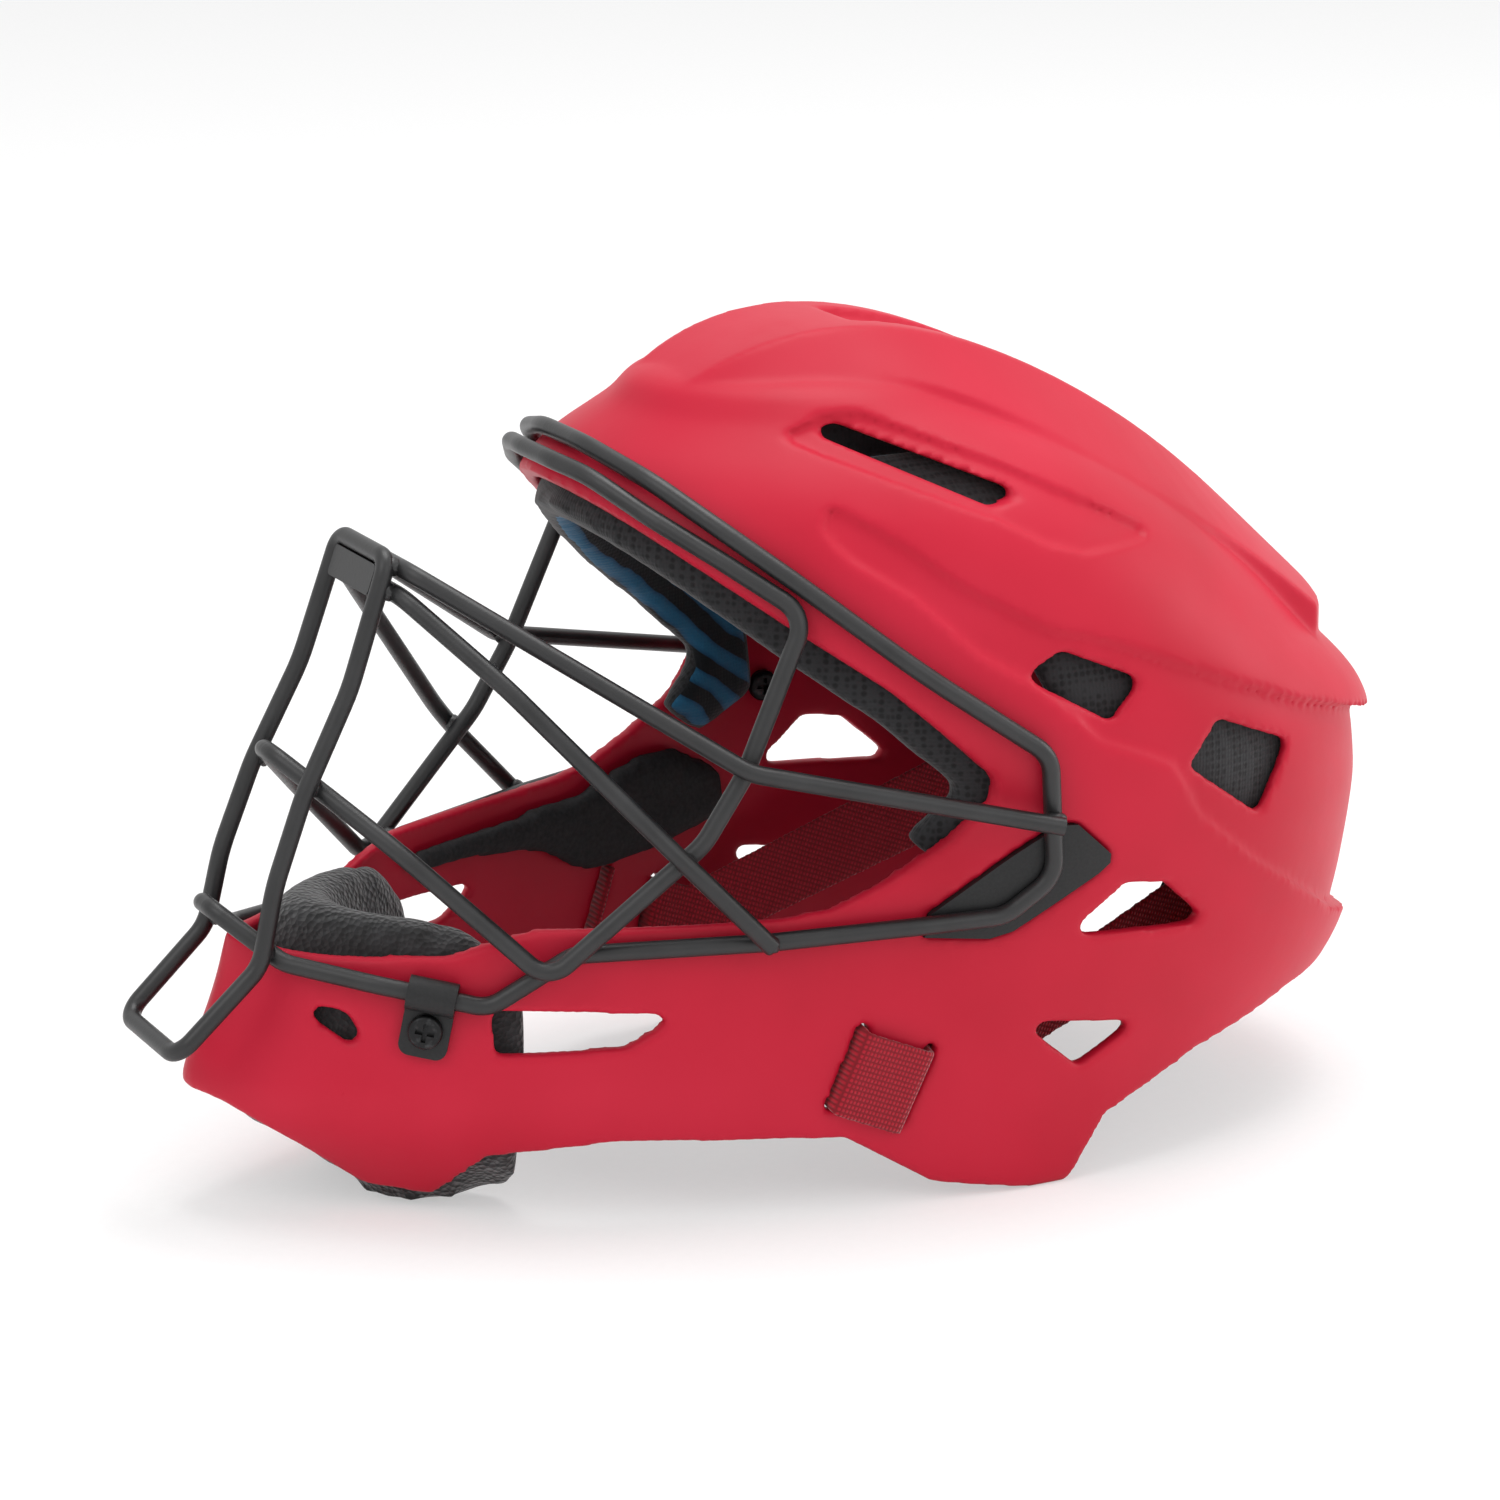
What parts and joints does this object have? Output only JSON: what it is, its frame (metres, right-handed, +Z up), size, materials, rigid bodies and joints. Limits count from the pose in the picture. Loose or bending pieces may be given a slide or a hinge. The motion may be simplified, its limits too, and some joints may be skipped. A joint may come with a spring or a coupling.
{
  "type": "catcher helmet",
  "caption": "Hard-shell sports helmet with a welded wire face cage, padded liner, chin cushion and a sliding rear plate on elastic straps.",
  "frame": {"origin": "on the ground at the middle of the length and width, standing as it does on its chin cushion and rear edge", "axes": "+Z up, the face opening looks towards -Y, the wearer's left is +X"},
  "size_m": [0.2084, 0.357, 0.2221],
  "materials": {
    "shell": "satin moulded ABS",
    "plate": "satin moulded ABS",
    "wire": "powder-coated steel",
    "fittings": "moulded nylon",
    "screws": "blackened steel",
    "liner": "mesh cloth over foam",
    "chin_cloth": "brushed looped cloth over foam",
    "foam": "moulded closed-cell foam",
    "webbing": "woven elastic webbing"
  },
  "bodies": {
    "helmet": {"front_shell": "shell", "cage_perimeter_wire": "wire", "cage_v_wire": "wire", "cage_upper_rail": "wire", "cage_diagonal_wire": "wire", "cage_centre_loop": "wire", "cage_nose_plate": "wire", "brow_liner": "liner", "crown_pad": "liner", "chin_pad": "chin_cloth", "top_strap": "webbing", "chin_clip_left": "fittings", "chin_clip_right": "fittings", "chin_clip_screw_left": "screws", "chin_clip_screw_right": "screws", "chin_clip_nut_left": "screws", "chin_clip_nut_right": "screws", "side_retainer_left": "fittings", "side_retainer_right": "fittings", "retainer_screw_left": "screws", "retainer_screw_right": "screws", "side_foam_left": "liner", "side_foam_right": "liner", "jaw_pad_left": "foam", "jaw_pad_right": "foam", "side_strap_left": "webbing", "side_strap_right": "webbing"},
    "rear": {"rear_plate": "plate", "rear_plate_pad": "foam"}
  },
  "joints": [
    {"name": "rear_plate_slide", "type": "slide", "parent": "helmet", "child": "rear", "axis": [0, -0.22, -0.9755], "range_m": [0, 0.012], "stiffness_N_per_m": 400, "springref_m": -0.004, "deforming": ["side_strap_left", "side_strap_right", "top_strap"]}
  ]
}
